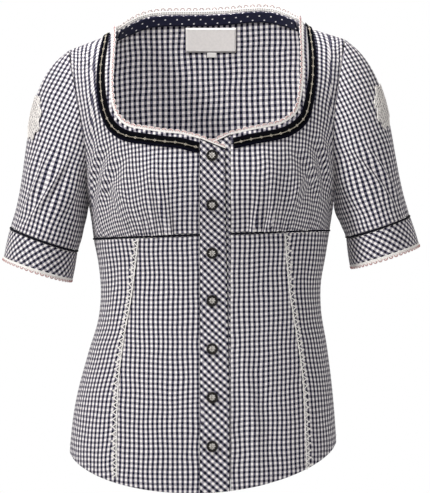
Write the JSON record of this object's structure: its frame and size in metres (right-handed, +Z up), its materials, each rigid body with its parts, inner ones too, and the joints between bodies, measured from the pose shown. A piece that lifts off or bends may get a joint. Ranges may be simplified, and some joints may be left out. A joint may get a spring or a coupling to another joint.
{
  "type": "dirndl blouse",
  "caption": "Short-sleeved checked cotton dirndl blouse with a square neck, gathered bust, button band, piped cuffs and lace trims.",
  "frame": {"origin": "midway between the two shoulder seams at the neck, where the wearer's shoulders hold the blouse", "axes": "+X towards the wearer's left side, front facing -Y, +Z up"},
  "size_m": [0.5327, 0.2366, 0.627],
  "materials": {
    "check": "navy and white woven check cotton",
    "bias_check": "the same check cotton cut on the bias",
    "piping": "navy cotton piping",
    "velvet": "black velvet ribbon with a beige chain stitch",
    "dotted_facing": "navy cotton with small white dots",
    "lace": "white cotton lace",
    "pewter": "antique pewter",
    "label": "light grey woven label, blank"
  },
  "bodies": {
    "root": {"applique_left": "lace", "applique_right": "lace", "back": "check", "bust_piping_left": "piping", "bust_piping_right": "piping", "button_1": "pewter", "button_2": "pewter", "button_3": "pewter", "button_4": "pewter", "button_5": "pewter", "button_6": "pewter", "button_7": "pewter", "cuff_lace_left": "lace", "cuff_lace_right": "lace", "cuff_left": "bias_check", "cuff_piping_left": "piping", "cuff_piping_right": "piping", "cuff_right": "bias_check", "front_center_left": "check", "front_center_right": "check", "front_side_left": "check", "front_side_right": "check", "front_upper_left": "check", "front_upper_right": "check", "label": "label", "neck_band": "check", "neck_facing": "dotted_facing", "neck_lace": "lace", "placket_top": "bias_check", "placket_under": "bias_check", "princess_lace_left": "lace", "princess_lace_right": "lace", "ribbon": "velvet", "size_tab": "label", "sleeve_left": "check", "sleeve_right": "check"}
  },
  "joints": []
}
